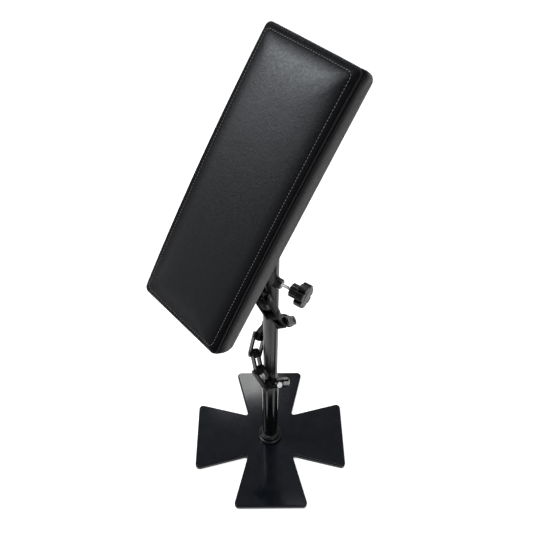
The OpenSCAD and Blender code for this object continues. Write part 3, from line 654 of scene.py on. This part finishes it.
def patch(edge, loop):
    """Points inside a closed ring of four sides, blended from its sides, as rows along x."""
    long, short = loop.sides
    right, top = edge[:long + 1], edge[long:long + short + 1][::-1]
    left = edge[long + short:2 * long + short + 1][::-1]
    bottom = np.concatenate([edge[2 * long + short:], edge[:1]])
    s = np.linspace(0, 1, short + 1)[:, None, None]
    t = np.linspace(0, 1, long + 1)[None, :, None]
    sides = (1 - t) * bottom[:, None] + t * top[:, None] + (1 - s) * left[None] + s * right[None]
    return (sides - (1 - s) * (1 - t) * bottom[0] - s * (1 - t) * bottom[-1]
            - (1 - s) * t * top[0] - s * t * top[-1])


def crown_inset(xy):
    """How far the crown's contour through each point is drawn in, by halving."""
    low, high = np.zeros(len(xy)), np.full(len(xy), float(PAD_W))
    for _ in range(26):
        inset = (low + high) / 2
        r = crown_radius(inset)
        qx, qy = np.abs(xy[:, 0]) - (PAD_W - inset - r), np.abs(xy[:, 1]) - (PAD_L - inset - r)
        past = np.hypot(np.maximum(qx, 0), np.maximum(qy, 0)) + np.minimum(np.maximum(qx, qy), 0)
        outside = past > r
        high, low = np.where(outside, inset, high), np.where(outside, low, inset)
    return (low + high) / 2


class Cover:
    """The cover as rings at distances ts from the seam, low end first, and a grid in the last one."""

    def __init__(self, loop, ts):
        self.loop, self.ts = loop, np.asarray(ts, float)
        n, (long, short) = len(loop.u), loop.sides
        rings = [cover_ring(loop, t) for t in self.ts]
        flat = patch(rings[-1][:, :2], loop).reshape(-1, 2)
        top = np.column_stack([flat, crown_height(crown_inset(flat), flat[:, 1])])
        self.rings = np.stack(rings)
        self.top = top.reshape(short + 1, long + 1, 3)
        # Indices of the grid: its rim is the last ring
        m = len(rings)
        ids = -np.ones((short + 1, long + 1), int)
        rim_ids = (m - 1) * n + np.arange(n)
        ids[-1, :] = rim_ids[:long + 1]
        ids[::-1, -1] = rim_ids[long:long + short + 1]
        ids[0, ::-1] = rim_ids[long + short:2 * long + short + 1]
        ids[:, 0] = np.concatenate([rim_ids[2 * long + short:], rim_ids[:1]])
        inside = ids < 0
        ids[inside] = m * n + np.arange(inside.sum())
        self.ids, self.inside = ids, inside
        self.faces = skin(m, n) + [
            (ids[i, j], ids[i + 1, j], ids[i + 1, j + 1], ids[i, j + 1])
            for i in range(short) for j in range(long)]

    def points(self, rings=None, top=None):
        rings = self.rings if rings is None else rings
        top = self.top if top is None else top
        return np.concatenate([rings.reshape(-1, 3), top[self.inside]])

    def split(self, points):
        """The same points as rings and grid."""
        m, n = self.rings.shape[:2]
        return points[:m * n].reshape(m, n, 3), points[self.ids]

    def side_u(self):
        """The coordinate along a short and a long side of the grid."""
        long, short = self.loop.sides
        return np.append(self.loop.u[long:long + short] - 4, 4.0), np.append(self.loop.u[:long], 4.0)


def resampled(values, xs, x):
    """Rows of values at places xs, read between them at places x."""
    xs, x = np.asarray(xs, float), np.asarray(x, float)
    i = np.clip(np.searchsorted(xs, x, "right") - 1, 0, len(xs) - 2)
    share = np.clip((x - xs[i]) / (xs[i + 1] - xs[i]), 0, 1)[:, None, None]
    return values[i] * (1 - share) + values[i + 1] * share


def carried(coarse, moves, fine):
    """Moves of the coarse cover's points, spread over the fine cover."""
    rings, top = coarse.split(moves)
    round_it = np.swapaxes(rings, 0, 1)
    round_it = np.concatenate([round_it, round_it[:1]])
    rings = np.swapaxes(resampled(round_it, np.append(coarse.loop.u, 16.0), fine.loop.u), 0, 1)
    (cs, cl), (fs, fl) = coarse.side_u(), fine.side_u()
    top = np.swapaxes(resampled(np.swapaxes(resampled(top, cs, fs), 0, 1), cl, fl), 0, 1)
    return resampled(rings, coarse.ts, fine.ts), top


CLOTH_FRAMES, MOST_MOVE = 20, 1.4


def inflated(cover):
    """Moves of a cloth of the cover's shape that is held at its seam and its fold, and filled."""
    points = cover.points() * MM
    mesh = bpy.data.meshes.new("cover_cloth")
    mesh.from_pydata(points.tolist(), [], cover.faces)
    mesh.update()
    cloth = bpy.data.objects.new("cover_cloth", mesh)
    scene.collection.objects.link(cloth)
    n = len(cover.loop.u)
    held = cloth.vertex_groups.new(name="held")
    for k, t in enumerate(cover.ts):
        if t < -SEAM_H + 6 or abs(t) < 0.5:
            held.add(range(k * n, (k + 1) * n), 1.0, "REPLACE")
    physics = cloth.modifiers.new("cloth", "CLOTH")
    settings = physics.settings
    settings.quality = 6
    settings.mass = 0.3
    settings.tension_stiffness = settings.compression_stiffness = 25
    settings.shear_stiffness = 12
    settings.bending_stiffness = 4
    settings.shrink_min = 0.008
    settings.use_pressure = True
    settings.uniform_pressure_force = 3
    settings.vertex_group_mass = "held"
    settings.effector_weights.gravity = 0
    physics.collision_settings.use_collision = False
    physics.point_cache.frame_start, physics.point_cache.frame_end = 1, CLOTH_FRAMES
    for f in range(1, CLOTH_FRAMES + 1):
        scene.frame_set(f)
    shown = cloth.evaluated_get(bpy.context.evaluated_depsgraph_get())
    after = np.array([v.co for v in shown.data.vertices], float)
    scene.frame_set(1)
    bpy.data.objects.remove(cloth)
    bpy.data.meshes.remove(mesh)
    moves = (after - points) / MM
    length = np.linalg.norm(moves, axis=1, keepdims=True)
    return moves * np.tanh(length / MOST_MOVE) * MOST_MOVE / np.maximum(length, 1e-9)


# Rows at distances from the seam: closer at the seam, at the stitched line and round the board
coarse_rows = [-46, -41, -36.5, -33, -30.5, -26, -21, -16, -11, -6, 0, 5, 10, 15, 20, 26, 32]
fold_rows = [-46, -45.6, -44, -42, -40, -38.2, -37, -36, -35.2, -34.6, -34, -33.4, -32.8, -32.2,
             -31.6, -31, -30.5]
band_rows = [-29.5 + 1.5 * k for k in range(16)]
seam_rows = [-6, -4.5, -3.6, -3, -2.5, -2.1, -1.8, -1.5, -1.2, -0.9, -0.5, 0, 0.5, 0.9, 1.2, 1.5,
             1.8, 2.1, 2.5, 3, 3.6, 4.5, 5.5, 6.4, 7.2, 7.7, 8.1, 8.4, 8.7, 9.1, 9.6, 10.4, 11.5,
             12.8]
crown_rows = [14.2 + 1.5 * k for k in range(12)]
coarse = Cover(Loop(arc=4, long=72, short=27), coarse_rows)
fine = Cover(Loop(arc=24, long=340, short=124), sorted(fold_rows + band_rows + seam_rows + crown_rows))

moves = inflated(coarse)
ring_moves, top_moves = carried(coarse, moves, fine)
rings, top = fine.rings + ring_moves, fine.top + top_moves

# Seam, stitched line and corner seams, pressed into the cover along its normals
STITCH_T, STITCH_PITCH = 8.4, 4.2


def lengths_round(points):
    """Distance of each point round a closed ring, and the whole length."""
    step = np.linalg.norm(np.roll(points, -1, 0) - points, axis=1)
    return np.concatenate([[0], np.cumsum(step)[:-1]]), step.sum()


def bell(x, width):
    return np.exp(-(x / width) ** 2)


def bells(x, *terms):
    """Bells in a sum, each from its height, its place and its width."""
    return sum(height * bell(x - place, width) for height, place, width in terms)


stitch_row = int(np.argmin(np.abs(fine.ts - STITCH_T)))
round_s, round_l = lengths_round(rings[stitch_row])
stitches = int(round(round_l / STITCH_PITCH))
beat = np.cos(2 * math.pi * stitches * round_s / round_l)
rng = np.random.default_rng(7)
uneven = sum(rng.uniform(0.4, 1) * np.sin(2 * math.pi * k * round_s / round_l + rng.uniform(0, 6.28))
             for k in (23, 37, 51, 68, 89, 113)) / 6
corner = np.abs((fine.loop.u + 2) % 4 - 2)      # zero at a corner's middle, one at its arc's end
corner_gap = np.where(corner < 1, corner * PAD_R * math.pi / 4, 6)

press = np.zeros(rings.shape[:2])
for k, t in enumerate(fine.ts):
    ridge = bells(t, (0.5, 0, 0.75), (-0.85, 1.75, 0.5), (-0.95, -1.75, 0.55))
    lips = bells(t, (0.3, 5, 2.4), (0.25, -4.5, 2))
    stitch = -0.5 * bell(t - STITCH_T, 0.75) * (0.8 - 0.2 * beat)
    pucker = 0.16 * uneven * bells(t, (1, 11.5, 4), (1, -6, 4), (0.7, 4, 3))
    press[k] = ridge + lips + stitch + pucker
    if -SEAM_H + 1 < t < -2.4:
        fade = min(1, (t + SEAM_H - 1) / 4, (-2.4 - t) / 1.5 + 0.3)
        press[k] += fade * bells(corner_gap, (-0.9, 0, 0.55), (0.35, 1.5, 0.8), (-0.3, 3, 0.5))
    if t < -SEAM_H - 3:
        depth = min(1, (-SEAM_H - 3 - t) / 4)
        pleat = 0.55 * np.abs(np.sin(corner_gap * 1.9)) * bell(corner_gap, 4)
        press[k] += depth * (pleat + 0.12 * uneven)

draft = bpy.data.meshes.new("cover_draft")
draft.from_pydata(fine.points(rings, top).tolist(), [], fine.faces)
draft.update()
normals = np.zeros(len(draft.vertices) * 3, np.float32)
draft.vertex_normals.foreach_get("vector", normals)
bpy.data.meshes.remove(draft)
ring_normals, _ = fine.split(normals.reshape(-1, 3).astype(float))
rings = rings + ring_normals * press[:, :, None]

# The cover, closed under the board
open_points = fine.points(rings, top)
n_round, start, lid_z = len(fine.loop.u), len(open_points), BOARD_LOW + 0.4
cover_points = np.concatenate([open_points, flat_ring(rings[0][:, :2], lid_z), [[0, 0, lid_z]]])
after = [(i + 1) % n_round for i in range(n_round)]
closing = [(j, start + j, start + i, i) for i, j in enumerate(after)]
closing += [(start + j, start + i, start + n_round) for i, j in enumerate(after)]
cover = make("pad_cover", cover_points, fine.faces + closing, "pad", "leather", "black_leather",
             ["cover_top", "cover_boxing", "pad_foam"], at_pad, sharp=80)

# Painted shade: the leather reflects less beside the seam, which darkens bands along the pad's edges,
# but not on the ridge of the seam
rim = np.zeros(len(cover_points))
for k, t in enumerate(fine.ts):
    dull = np.clip((25 - t) / 17 if t > 0 else (16 + t) / 8, 0, 1)
    rim[k * n_round:(k + 1) * n_round] = dull * (1 - 0.9 * bell(t, 0.8))
cover.data.attributes.new("rim", "FLOAT", "POINT").data.foreach_set("value", rim)


# Stitches: short threads that dip into the cover at both ends

THREAD_R = 0.42


def capsule(start, end, up, n=6):
    """A thread from start to end that bows up in its middle."""
    length = np.linalg.norm(end - start)
    along = (end - start) / length
    side = unit(np.cross(along, up))
    up = np.cross(side, along)
    rings = []
    # Share of the length, share of the thread's radius, and rise for a radius of 0.35
    for share, r, rise in ((0, 0.35, -0.3), (0.12, 0.8, 0.0), (0.35, 1, 0.22), (0.65, 1, 0.22),
                           (0.88, 0.8, 0.0), (1, 0.35, -0.3)):
        middle = start + along * length * share + up * rise * THREAD_R / 0.35
        rings.append([middle + THREAD_R * r * (math.cos(a) * side + math.sin(a) * up * 0.8)
                      for a in circle_points(n)])
    return stacked(rings)


line, line_up = rings[stitch_row], ring_normals[stitch_row]
line_s, line_l = lengths_round(line)
line_at = np.append(line_s, line_l)


def on_line(values, distance):
    """The row of values at a distance round the stitched line."""
    closed = np.concatenate([values, values[:1]])
    return np.array([np.interp(distance % line_l, line_at, closed[:, c]) for c in range(3)])


threads = []
for k in range(stitches):
    first, last = ((k + share) * line_l / stitches for share in (0.14, 0.86))
    up = on_line(line_up, first)
    threads.append(capsule(on_line(line, first) + 0.1 * up, on_line(line, last) + 0.1 * up, up))
make("top_stitches", *merged(threads), "pad", "thread", "black_leather", (), at_pad, sharp=80)


# Dust cover: thin black cloth under the board, with its edge turned in and stapled

BRACKET_W, BRACKET_L = 37, 57       # the cloth lies flat against the bracket within these


def cloth_sheet(half_w, half_l, low, high, step=4.0):
    """A sheet from low to high that hangs a little slack between the bracket and its edge."""
    nx, ny = int(2 * half_w / step), int(2 * half_l / step)
    x, y = np.meshgrid(np.linspace(-half_w, half_w, nx + 1), np.linspace(-half_l, half_l, ny + 1),
                       indexing="ij")
    edge = np.minimum(half_w - np.abs(x), half_l - np.abs(y))
    near = np.maximum(np.maximum(np.abs(x) - BRACKET_W, np.abs(y) - BRACKET_L), 0)
    slack = np.clip(near / 12, 0, 1) * np.clip(edge / 9, 0, 1)
    wave = (np.sin(x * 0.11 + 1.3 * np.sin(y * 0.031)) * np.sin(y * 0.083 + 0.6)
            + 0.4 * np.sin(x * 0.23 + y * 0.17))
    hem = 0.25 * bell(edge - 6, 1.5)
    bottom = low + 0.12 - slack * (0.35 + 0.3 * wave) - hem
    under = np.stack([x, y, bottom], 2).reshape(-1, 3)
    over = np.stack([x, y, np.full_like(x, high)], 2).reshape(-1, 3)
    count = (nx + 1) * (ny + 1)

    def index(i, j):
        return i * (ny + 1) + j

    faces = []
    for i in range(nx):
        for j in range(ny):
            a, b, c, d = index(i, j), index(i + 1, j), index(i + 1, j + 1), index(i, j + 1)
            faces += [(d, c, b, a), (a + count, b + count, c + count, d + count)]
    rim_ids = ([index(i, 0) for i in range(nx)] + [index(nx, j) for j in range(ny)]
               + [index(i, ny) for i in range(nx, 0, -1)] + [index(0, j) for j in range(ny, 0, -1)])
    for a, b in zip(rim_ids, rim_ids[1:] + rim_ids[:1]):
        faces.append((a, b, b + count, a + count))
    return np.concatenate([under, over]), faces


dust_w, dust_l = PAD_W - BOARD_INSET - DUST_MARGIN, PAD_L - BOARD_INSET - DUST_MARGIN
dust = make("dust_sheet", *cloth_sheet(dust_w, dust_l, BRACKET_RISE, BRACKET_RISE + 0.8), "pad",
            "cloth", "dust_cloth", ["dust_cover"], at_pad, sharp=60)


def staple(x, y, angle):
    """A wire staple 10 mm wide lying on the cloth, its legs in the board."""
    path = np.array([(-5, 0, 2.4), (-5, 0, -0.1), (-4.6, 0, -0.42), (4.6, 0, -0.42), (5, 0, -0.1),
                     (5, 0, 2.4)])
    rings = []
    for k, p in enumerate(path):
        tangent = unit(path[min(k + 1, 5)] - path[max(k - 1, 0)])
        side = np.cross([0, 1, 0], tangent)
        rings.append([p + 0.42 * math.cos(a) * side + 0.55 * math.sin(a) * np.array([0, 1, 0])
                      for a in circle_points(8)])
    points, faces = stacked(rings)
    c, s = math.cos(angle), math.sin(angle)
    points = points @ np.array([[c, s, 0], [-s, c, 0], [0, 0, 1]])
    return points + np.array([x, y, BRACKET_RISE - 0.05]), faces


# Thirteen staples along each long side and five along each short one, none quite straight
STAPLE_MARGIN = 4
staples = []
for k in range(13):
    staples += [staple(side * (dust_w - STAPLE_MARGIN), -165 + k * 27.5,
                       math.pi / 2 + 0.05 * math.sin(3 * k + side)) for side in (1, -1)]
for k in range(5):
    staples += [staple(-50 + k * 25, side * (dust_l - STAPLE_MARGIN),
                       0.05 * math.cos(2 * k + side)) for side in (1, -1)]
make("staples", *merged(staples), "pad", "steel", "bright_steel", (), at_pad, sharp=60)


# Bolt and screws of the tilt head

def bolt(flats, head_l, seat, shank_r, shank_end, n=144):
    """Hexagon-head bolt: its head runs up from its seat, and its shank down to shank_end."""
    hexagon, inner, face = hex_radius(circle_points(n), flats), flats * 0.46, flats * 0.47
    end = seat + head_l
    chamfer = chamfer_height(hexagon, inner, end)
    return stacked([
        ring(shank_r - 0.8, shank_end, n), ring(shank_r, shank_end + 0.8, n),
        ring(shank_r, seat, n), ring(face, seat, n), ring(face, seat + 0.4, n),
        ring(hexagon - 0.15, seat + 0.4), ring(hexagon, seat + 0.6), ring(hexagon, chamfer - 0.25),
        ring(hexagon - 0.2, chamfer), ring(inner, end, n), ring(inner * 0.7, end - 0.25, n)])


def socket_screw(head_r, head_l, start, n=144):
    """Cap screw from its seat at zero: a knurled head with a hexagon socket; its shank is below."""
    a = circle_points(n)
    knurl = head_r - 0.12 * (1 + np.cos(a * 36)) / 2
    socket = hex_radius(a, head_r)
    return stacked([
        ring(2.6, start, n), ring(3.0, start + 0.5, n), ring(3.0, 0, n),
        ring(head_r - 0.5, 0, n), ring(head_r - 0.15, 0.25, n), ring(knurl, 0.6),
        ring(knurl, head_l - 1.1), ring(head_r - 0.1, head_l - 0.9, n),
        ring(head_r - 0.35, head_l - 0.35, n), ring(head_r - 0.9, head_l, n),
        ring(socket + 0.35, head_l), ring(socket, head_l - 0.35), ring(socket, head_l / 2),
        ring(socket * 0.45, head_l / 2 - 0.35),
    ])


def bracket_screw(x, y):
    """Cap screw that comes up through its washer and the bracket from below."""
    points, faces = socket_screw(head_r=4.8, head_l=3.6, start=-18.1)
    flip = np.array([1, -1, -1])
    return points * flip + np.array([x, y, BRACKET_RISE - BRACKET_T - WASHER_T]), faces


make("pivot_bolt_body", *bolt(flats=16, head_l=6.4, seat=18.55, shank_r=4.95, shank_end=-40.9),
     "pad", "steel", "bright_steel", ["pivot_bolt"], at_pivot, sharp=35)
make("bracket_screw_heads", *merged([bracket_screw(x, y) for x in (25, -25) for y in (44, -44)]),
     "pad", "steel", "bright_steel", ["bracket_screws"], at_pad, sharp=35)

# CAD nodes that keep their shape: they take their look, and their edges are eased by a width
kept = {
    "rubber_sheet": ("rubber", 0), "upper_tube": ("satin", 0.3), "stem_plug": ("nylon", 0.3),
    "tilt_block": ("satin", 0.8), "tilt_bracket": ("satin", 0.6),
    "pivot_washers": ("white_nylon", 0.25), "knob_washer": ("steel", 0.25),
    "screw_washers": ("steel", 0.2), "tee_nuts": ("brass", 0), "pad_board": ("ply", 0),
    "tilt_knob_insert": ("brass", 0.2), "chain_inner_plates": ("chain", 0.5),
    "chain_outer_plates": ("chain", 0.5), "chain_rollers": ("chain", 0.7),
    "chain_pins": ("black_steel", 0.3), "chain_end_roller": ("dull_steel", 0.5),
    "chain_screw": ("steel", 0.3),
}
for name, (look, edge) in kept.items():
    obj = nodes[name]
    obj.data.materials.clear()
    obj.data.materials.append(looks[look])
    if edge:
        weld = obj.modifiers.new("join", "WELD")
        weld.merge_threshold = 0.002 * MM
        ease = obj.modifiers.new("ease", "BEVEL")
        ease.width, ease.segments, ease.limit_method = edge * MM, 3, "ANGLE"
        ease.angle_limit = math.radians(40)
        ease.harden_normals = True


# Floor, world, lamps and camera

def seen_directly(tree):
    """One for rays from the camera, off a mirror or through glass, and zero for the others."""
    path = tree.nodes.new("ShaderNodeLightPath").outputs
    seen = path["Is Camera Ray"]
    for key in ("Is Glossy Ray", "Is Transmission Ray"):
        node = tree.nodes.new("ShaderNodeMath")
        node.operation = "MAXIMUM"
        tree.links.new(seen, node.inputs[0])
        tree.links.new(path[key], node.inputs[1])
        seen = node.outputs[0]
    return seen


def floor(size=30):
    """Pale floor that keeps shadows, and glows a little where it is seen."""
    mesh = bpy.data.meshes.new("floor")
    mesh.from_pydata([(-size, -size, 0), (size, -size, 0), (size, size, 0), (-size, size, 0)], [],
                     [(0, 1, 2, 3)])
    look = Look("floor_paper", Roughness=0.9, Specular_IOR_Level=0.0)
    glow = look.math("MULTIPLY", seen_directly(look.tree), 0.72)
    tint = look.mix(look.noise(3, 3), rgb(0.5, 0.5, 0.5), rgb(0.52, 0.52, 0.52))
    mesh.materials.append(look.shade(
        Base_Color=tint, Emission_Color=rgb(1, 1, 1), Emission_Strength=glow))
    obj = bpy.data.objects.new("floor", mesh)
    scene.collection.objects.link(obj)


def world():
    """White where it is seen, and a weaker light on the object."""
    made = bpy.data.worlds.new("studio")
    scene.world = made
    made.use_nodes = True
    tree = made.node_tree
    back = tree.nodes["Background"]
    back.inputs["Color"].default_value = rgb(1, 1, 1)
    level = tree.nodes.new("ShaderNodeMapRange")
    level.inputs["To Min"].default_value = 0.45
    level.inputs["To Max"].default_value = 1.0
    tree.links.new(seen_directly(tree), level.inputs["Value"])
    tree.links.new(level.outputs[0], back.inputs["Strength"])


def softbox(name, place, target, width, height, radiance):
    """A rectangular lamp with the given radiance, aimed at a point; in metres."""
    lamp = bpy.data.lights.new(name, "AREA")
    lamp.shape, lamp.size, lamp.size_y = "RECTANGLE", width, height
    lamp.energy = radiance * math.pi * width * height
    obj = bpy.data.objects.new(name, lamp)
    scene.collection.objects.link(obj)
    obj.location = place
    obj.rotation_euler = (Vector(target) - Vector(place)).to_track_quat("-Z", "Y").to_euler()


def add_camera(place, down, yaw, roll, lens):
    """The photo's camera, as fitted: its place in metres, its angles in degrees, its lens in mm."""
    camera = bpy.data.objects.new("camera", bpy.data.cameras.new("camera"))
    scene.collection.objects.link(camera)
    camera.data.sensor_fit, camera.data.sensor_width, camera.data.lens = "HORIZONTAL", 36, lens
    camera.data.clip_start, camera.data.clip_end = 0.05, 100
    down, yaw, roll = math.radians(down), math.radians(yaw), math.radians(roll)
    forward = Vector((math.sin(yaw) * math.cos(down), math.cos(yaw) * math.cos(down), -math.sin(down)))
    right = forward.cross(Vector((0, 0, 1))).normalized()
    over = right.cross(forward)
    x_axis = right * math.cos(roll) + over * math.sin(roll)
    y_axis = over * math.cos(roll) - right * math.sin(roll)
    camera.matrix_world = frame_of(place, x_axis, y_axis, -forward)
    scene.camera = camera


floor()
world()
softbox("left_box", (-1.02, 0.15, 1.76), (0, 0, 0.8), width=0.5, height=1.0, radiance=28)
softbox("top_box", (0.2, 0.4, 2.3), (0, 0, 0.8), width=0.45, height=0.45, radiance=20)
softbox("rear_box", (-0.12, 1.14, 1.6), (0, 0.1, 0), width=0.26, height=0.2, radiance=38)
softbox("front_fill", (0.55, -1.5, 1.7), (0, 0, 0.3), width=0.35, height=0.35, radiance=24)
add_camera((-0.010355, -0.626685, 1.23024), down=48.1046, yaw=0.343, roll=-0.1058, lens=43.338)
scene.view_settings.view_transform = "Standard"

bpy.context.view_layer.update()
